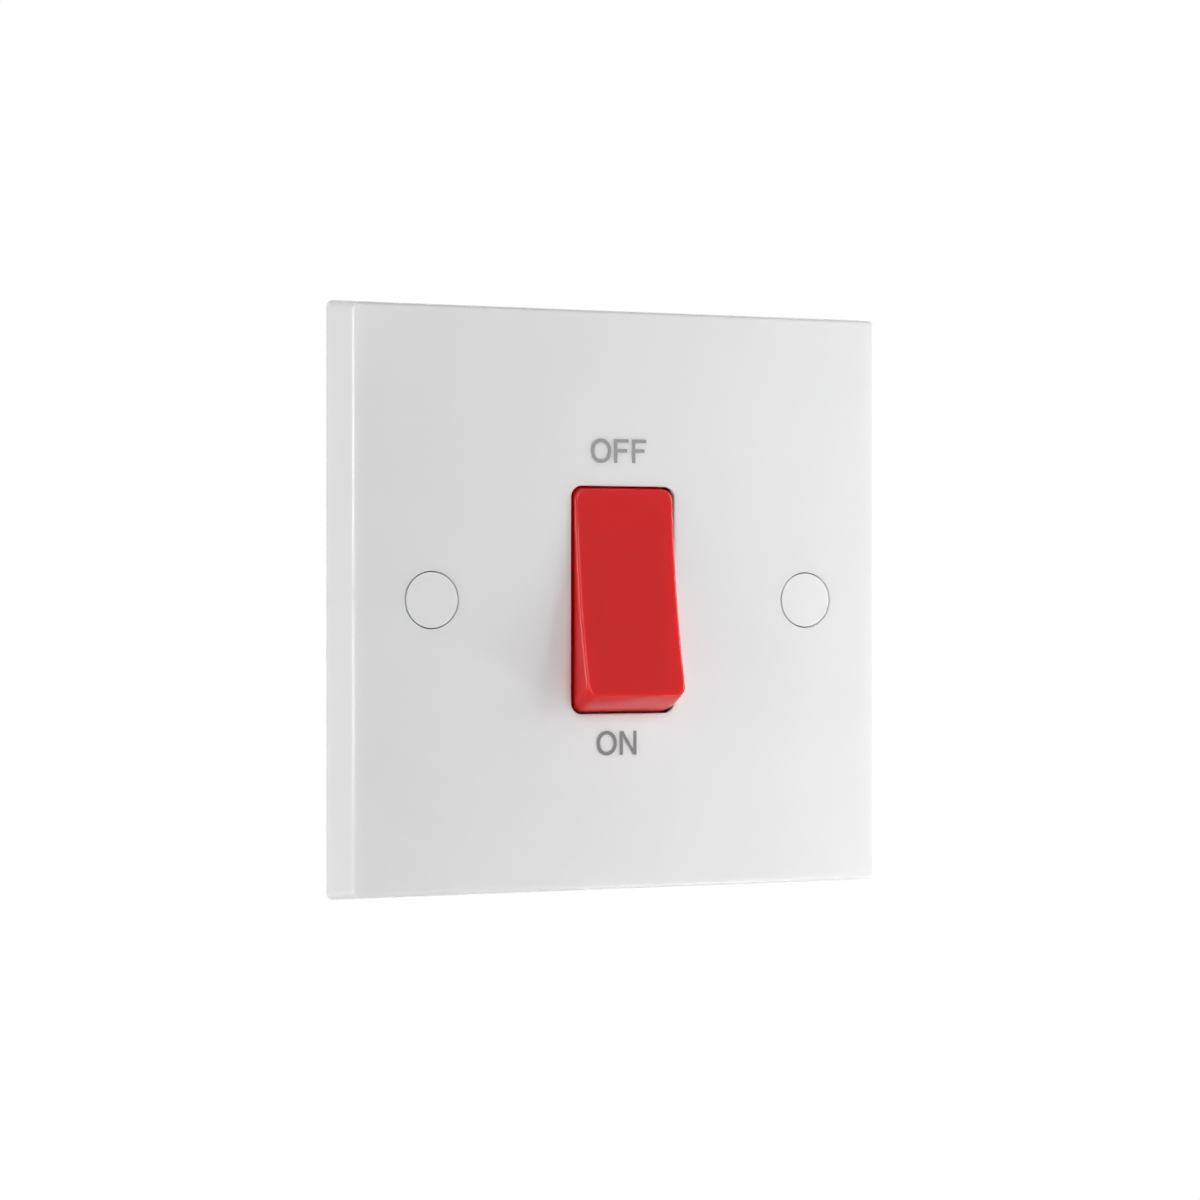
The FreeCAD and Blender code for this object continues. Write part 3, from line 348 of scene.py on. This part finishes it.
def round_letter(shape, left, foot, width, height, squareness=0.02):
    """An O: an outer and an inner ring, both a little fuller than an ellipse, bridged and inked."""
    rims = []
    for inset in (0, STROKE):
        ring = bmesh.ops.create_circle(shape, segments=56, radius=1)["verts"]
        for v in ring:
            fuller = 1 + squareness * (2 * v.co.x * v.co.y) ** 2
            v.co = Vector((left + width / 2 + v.co.x * fuller * (width / 2 - inset), INK_FOOT,
                           foot + height / 2 + v.co.y * fuller * (height / 2 - inset)))
        rims += [e for e in shape.edges if all(v in ring for v in e.verts)]
    ink(shape, bmesh.ops.bridge_loops(shape, edges=rims)["faces"])


LETTER_F = [(0, 0, 0, 0), (0, 1, 0, 0), (0, 1, 0.52, -0.45), (0.885, 0, 0.52, -0.45), (0.885, 0, 0.52, 0.45),
            (0, 1, 0.52, 0.45), (0, 1, 1, -0.9), (1, 0, 1, -0.9), (1, 0, 1, 0), (0, 0, 1, 0)]
LETTER_N = [(0, 0, 0, 0), (0, 0.93, 0, 0), (0, 0.93, 0.78, 0), (1, -1.08, 0, 0), (1, 0, 0, 0),
            (1, 0, 1, 0), (1, -0.93, 1, 0), (1, -0.93, 0.22, 0), (0, 1.08, 1, 0), (0, 0, 1, 0)]


def printed(name, thick, thin):
    """A matt ink whose cover varies a little from place to place."""
    film = Finish(name, Specular_IOR_Level=0.3)
    cover = film.spread(film.noise(3000, detail=3), 0, 1)
    return film.plug(Base_Color=film.colours(cover, thick, thin),
                     Roughness=film.spread(film.noise(2500, detail=2), 0.42, 0.55),
                     Normal=film.bump(film.noise(4000, detail=2), 0.000004))


CAPITAL = 3.46
ROUND_CAPITAL = 3.56
OFF_FOOT = 20.02
ON_FOOT = -22.61
ROUND_DROP = 0.05

off = bmesh.new()
round_letter(off, left=-5.20, foot=OFF_FOOT - ROUND_DROP, width=3.23, height=ROUND_CAPITAL)
straight_letter(off, LETTER_F, left=-1.49, foot=OFF_FOOT, width=2.36, height=CAPITAL)
straight_letter(off, LETTER_F, left=1.40, foot=OFF_FOOT, width=2.30, height=CAPITAL)
pale_ink = printed("pale grey ink", (0.28, 0.282, 0.285), (0.315, 0.317, 0.32))
new_piece("word_off", off, pale_ink, "root")

on = bmesh.new()
round_letter(on, left=-4.31, foot=ON_FOOT - ROUND_DROP, width=3.25, height=ROUND_CAPITAL)
straight_letter(on, LETTER_N, left=-0.59, foot=ON_FOOT, width=2.71, height=CAPITAL)
full_ink = printed("grey ink", (0.195, 0.197, 0.20), (0.225, 0.227, 0.23))
new_piece("word_on", on, full_ink, "root")

# %% [markdown]
# ## Screw threads
# In the solids a thread is a plain cylinder of its outer radius, which is right for a fit but looks like a
# nail. A real thread is one section carried round the axis while it climbs, and that is what `spin` does
# when it is given a step along the axis. The turns above and below the wanted length are cut off with a
# plane, and the cuts are closed. The head with its slot is already right in the CAD piece, so it is copied
# from there and cut free.

# %% Define the thread
TURN_STEPS = 30
GROOVE_DEPTH = 0.58
SPARE_TURNS = 1.5
ON_PLANE = 0.0001


def thread(shape, radius, pitch, start, end):
    """A right-handed thread along +Y from start to end, closed at both ends."""
    root = radius - pitch * GROOVE_DEPTH
    # Radius, and share of the pitch: groove floor, flank up, crest, flank down, groove floor
    section = [(root, 0), (root, 0.18), (radius, 0.44), (radius, 0.56), (root, 0.82), (root, 1)]
    first = start - pitch * SPARE_TURNS
    turns = math.ceil((end - start) / pitch) + math.ceil(2 * SPARE_TURNS)
    grown = bmesh.new()
    spots = [grown.verts.new((r, first + h * pitch, 0)) for r, h in section]
    wire = [grown.edges.new(pair) for pair in zip(spots, spots[1:])]
    bmesh.ops.spin(grown, geom=spots + wire, cent=(0, 0, 0), axis=(0, 1, 0), angle=math.tau * turns,
                   dvec=(0, pitch / TURN_STEPS, 0), steps=TURN_STEPS * turns)
    bmesh.ops.remove_doubles(grown, verts=grown.verts, dist=WELD)
    for place, facing in ((start, -1), (end, 1)):
        cut_free(grown, place, facing)
    copy_into(shape, grown)


def cut_free(shape, place, facing):
    """Cuts a shape at y = place, drops what is on the facing side and closes the cut."""
    geometry = shape.verts[:] + shape.edges[:] + shape.faces[:]
    cut = bmesh.ops.bisect_plane(shape, geom=geometry, dist=ON_PLANE, plane_co=(0, place, 0),
                                 plane_no=(0, facing, 0), clear_outer=True)["geom_cut"]
    rim = [e for e in cut if isinstance(e, bmesh.types.BMEdge)]
    bmesh.ops.edgeloop_fill(shape, edges=rim)


def copy_into(shape, extra):
    """Adds one bmesh to another."""
    held = bpy.data.meshes.new("held")
    extra.to_mesh(held)
    extra.free()
    shape.from_mesh(held)
    bpy.data.meshes.remove(held)


# %% Replace the plain screws by threaded ones
# Outer radius and pitch of each thread
WALL_THREAD = (1.75, 0.6)
CLAMP_THREAD = (2.42, 0.8)
HOUSING_THREAD = (1.45, 1.1)
EARTH_THREAD = (1.92, 0.7)
WALL_SHANK_END = 0.5
TIP_SLIMNESS = 0.8
HEAD_OVERLAP = 0.15
RIM_DEPTH = 0.02


def threaded_screw(name, seat, radius, pitch, point=0.5):
    """The CAD screw's head, kept, with a real thread in place of its plain shank."""
    low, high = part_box(name)
    centre = (low + high) / 2 / MM
    head_in_front = name.startswith("fixing")
    head = bmesh.new()
    head.from_mesh(nodes[name].data)
    bmesh.ops.scale(head, vec=(1 / MM,) * 3, verts=head.verts)
    bmesh.ops.remove_doubles(head, verts=head.verts, dist=WELD)
    cut_free(head, seat, 1 if head_in_front else -1)
    tip = (high.y if head_in_front else low.y) / MM
    shape = bmesh.new()
    start, end = sorted((tip, seat - HEAD_OVERLAP if head_in_front else seat + HEAD_OVERLAP))
    thread(shape, radius, pitch, start, end)
    for v in shape.verts:
        to_tip = abs(v.co.y - tip)
        if to_tip < point:
            slim = TIP_SLIMNESS + (1 - TIP_SLIMNESS) * to_tip / point
            v.co.x, v.co.z = v.co.x * slim, v.co.z * slim
    bmesh.ops.translate(shape, vec=(centre.x, 0, centre.z), verts=shape.verts)
    copy_into(shape, head)
    piece = new_piece(f"{name}_threaded", shape, zinc, body_of_node[name], smooth=20)
    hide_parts(name)


def seat_of(name):
    """The y, in mm, of the front edge of a head's rim, for a screw that is driven in from behind."""
    spots = [v.co / MM for v in nodes[name].data.vertices]
    low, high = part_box(name)
    centre = (low + high) / 2 / MM
    from_axis = [math.hypot(p.x - centre.x, p.z - centre.z) for p in spots]
    reach = max(abs(p.x - centre.x) for p in spots)
    return min(p.y for p, away in zip(spots, from_axis) if away > reach - RIM_DEPTH)


for side in ("left", "right"):
    threaded_screw(f"fixing_screw_{side}", WALL_SHANK_END, *WALL_THREAD)
    for end in ("feed", "load"):
        clamp = f"{end}_screw_{side}"
        threaded_screw(clamp, seat_of(clamp), *CLAMP_THREAD)
    for end in ("bottom", "top"):
        holder = f"housing_screw_{end}_{side}"
        threaded_screw(holder, seat_of(holder), *HOUSING_THREAD, point=1.4)
threaded_screw("earth_screw", seat_of("earth_screw"), *EARTH_THREAD)

# %% [markdown]
# ## The springs
# Each plunger slides into the rocker and pushes its spring together. A rigid spring would let the plunger
# pass through the coils. Here each spring is copied from its CAD piece into a new piece with a mesh of its
# own, which rides on the rocker, and the CAD spring is hidden.

# %% Copy the springs
for side in ("left", "right"):
    coil = bmesh.new()
    coil.from_mesh(nodes[f"plunger_spring_{side}"].data)
    bmesh.ops.scale(coil, vec=(1 / MM,) * 3, verts=coil.verts)
    spring = new_piece(f"plunger_spring_{side}_sprung", coil, spring_steel, "rocker",
                       smooth=40)
    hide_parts(f"plunger_spring_{side}")
    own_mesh(spring)

# %% [markdown]
# ## Marks of the moulding tool
# A tool pushes its moulding out with round pins, and each pin leaves a shallow disc on the side that isn't
# seen: on the plate between the ribs of its back, on the housing on its flat rear. In the middle of the
# housing is the stub where the material flowed in. They could be painted on as a bump, but a real step of
# 0.07 mm catches the light as on a moulding. Each is a disc with a bevelled rim, sunk a little into the
# surface so that no gap is behind it.

# %% Add the ejector marks and the gate
WEB_REAR = -6.0
HOUSING_REAR = 18.0
SUNK = 0.03
RIM_BEVEL = 0.6


def tool_marks(name, rear, spots, radius, step, finish):
    """Round marks that stand out from a flat rear face by a small step."""
    shape = bmesh.new()
    facing_back = Matrix.Rotation(-math.pi / 2, 4, "X")
    for x, z in spots:
        middle = Matrix.Translation((x, rear + (step - SUNK) / 2, z)) @ facing_back
        bmesh.ops.create_cone(shape, cap_ends=True, segments=40, radius1=radius, radius2=radius,
                              depth=step + SUNK, matrix=middle)
    rims = [e for e in shape.edges if all(v.co.y > rear + step / 2 for v in e.verts)]
    bmesh.ops.bevel(shape, geom=rims, offset=step * RIM_BEVEL, segments=2, profile=0.5, affect="EDGES",
                    material=-1)
    new_piece(name, shape, finish, "root", smooth=15)


MARK_STEP = 0.07
GATE_STEP = 0.18
beside_housing = [(x, z) for x in (-36, -26, 26, 36) for z in (-20, 20)]
above_and_below = [(x, z) for x in (-20, 0, 20) for z in (-36.5, 36.5)]
on_housing = [(x, z) for x in (-16, 16) for z in (-10, 10)]
tool_marks("plate_ejector_marks", WEB_REAR, beside_housing + above_and_below, radius=1.6, step=MARK_STEP,
           finish=thin_plastic)
tool_marks("housing_ejector_marks", HOUSING_REAR, on_housing, radius=1.5, step=MARK_STEP,
           finish=thermoset)
tool_marks("housing_gate", HOUSING_REAR, [(0, 0)], radius=0.9, step=GATE_STEP,
           finish=thermoset)

# %% [markdown]
# ## The floor, the backdrop and the light
# The photograph is lit for a catalogue, with a pure white background. The floor lies below the view, pale,
# and its rim fades into the white so that no edge shows from above. The background is white only for the
# camera and for reflections, because a white world at full strength would wash the plate out.
#
# Read from the photograph, the plate gets lighter from left to right and hardly changes from top to bottom,
# and the rocker's shadow is soft. Lamps could be moved by eye until that fits. But light adds up: with each
# lamp rendered alone once, the level at any point is a plain sum, and a least-squares fit over some eighty
# points of the plate finds powers that need only a little balancing. It left four lamps: one close on the
# right that makes the gradient, a soft one in front, one that grazes the left side, and one low on the
# right that grazes the plate and reaches the rocker's lower end. The fifth is weak and small and only draws
# a thin bright line along the rocker's lower fold, and the last, behind, serves views from the back.

# %% Lay the floor
FLOOR_Z = -0.15
FLOOR_RADIUS = 0.32
FADE_START = FLOOR_RADIUS * 0.45
FADE_END = FLOOR_RADIUS * 0.98

disc = bmesh.new()
bmesh.ops.create_circle(disc, segments=96, radius=FLOOR_RADIUS, cap_ends=True)
bmesh.ops.translate(disc, vec=(0, 0, FLOOR_Z), verts=disc.verts)
floor_mesh = bpy.data.meshes.new("floor")
disc.to_mesh(floor_mesh)
disc.free()
floor = bpy.data.objects.new("floor", floor_mesh)
bpy.context.scene.collection.objects.link(floor)

pale = Finish("pale floor", Roughness=0.7)
pale_cloud = pale.spread(pale.noise(30, detail=3), 0, 1)
pale.plug(Base_Color=pale.colours(pale_cloud, (0.86, 0.86, 0.855), (0.83, 0.83, 0.828)))
from_middle = pale.node("ShaderNodeVectorMath", {0: pale.coordinates, 1: (0, 0, -FLOOR_Z)}, operation="ADD")
distance = pale.node("ShaderNodeVectorMath", {0: from_middle.outputs[0]}, operation="LENGTH")
rim_fade = pale.spread(distance.outputs["Value"], 0, 1, start=FADE_START, end=FADE_END)
ray = pale.node("ShaderNodeLightPath").outputs
seen = pale.node("ShaderNodeMath", {0: ray["Is Camera Ray"], 1: ray["Is Glossy Ray"]}, operation="MAXIMUM")
fade = pale.node("ShaderNodeMath", {0: rim_fade, 1: seen.outputs[0]}, operation="MULTIPLY").outputs[0]
glow = pale.node("ShaderNodeEmission", {"Color": (1, 1, 1, 1), "Strength": 1.0})
joined = pale.node("ShaderNodeMixShader", {0: fade, 1: pale.shader.outputs[0], 2: glow.outputs[0]})
pale.tree.links.new(joined.outputs[0], pale.tree.nodes["Material Output"].inputs["Surface"])
floor_mesh.materials.append(pale.material)
print("floor at z =", FLOOR_Z, "m")

# %% Light the scene
WORLD_FILL = 0.03
WORLD_SHOWN = 1.0
# Name, place and size in metres, power in watts
LAMPS = [
    ("near light", (0.19, -0.11, 0.05), 0.12, 0.235),
    ("front light", (0.02, -0.45, 0.20), 0.25, 1.11),
    ("left light", (-0.50, -0.03, 0.05), 0.20, 1.56),
    ("low light", (0.20, -0.06, -0.105), 0.07, 0.20),
    ("edge light", (0.07, -0.085, -0.12), 0.03, 0.02),
    ("rear light", (0, 0.45, 0), 0.08, 0.9),
]

world = bpy.data.worlds.new("studio")
world.use_nodes = True
bpy.context.scene.world = world
tree = world.node_tree
tree.nodes.clear()


def either(first, second):
    """1 for a ray that is of one kind or the other."""
    test = tree.nodes.new("ShaderNodeMath")
    test.operation = "MAXIMUM"
    tree.links.new(first, test.inputs[0])
    tree.links.new(second, test.inputs[1])
    return test.outputs[0]


def white_backdrop(strength):
    backdrop = tree.nodes.new("ShaderNodeBackground")
    backdrop.inputs["Color"].default_value = (1, 1, 1, 1)
    backdrop.inputs["Strength"].default_value = strength
    return backdrop.outputs[0]


path = tree.nodes.new("ShaderNodeLightPath").outputs
straight = either(path["Is Camera Ray"], path["Is Transmission Ray"])
mixed = tree.nodes.new("ShaderNodeMixShader")
tree.links.new(either(straight, path["Is Glossy Ray"]), mixed.inputs[0])
tree.links.new(white_backdrop(WORLD_FILL), mixed.inputs[1])
tree.links.new(white_backdrop(WORLD_SHOWN), mixed.inputs[2])
out = tree.nodes.new("ShaderNodeOutputWorld")
tree.links.new(mixed.outputs[0], out.inputs["Surface"])


def soft_box(name, place, size, power):
    """A square area light that faces the plate's centre and isn't seen itself."""
    lamp = bpy.data.lights.new(name, "AREA")
    lamp.shape = "SQUARE"
    lamp.size = size
    lamp.energy = power
    light = bpy.data.objects.new(name, lamp)
    light.location = place
    light.rotation_euler = (-Vector(place)).to_track_quat("-Z", "Y").to_euler()
    light.visible_camera = False
    bpy.context.scene.collection.objects.link(light)
    print(name, "at", place, "with", power, "W")


for lamp_row in LAMPS:
    soft_box(*lamp_row)
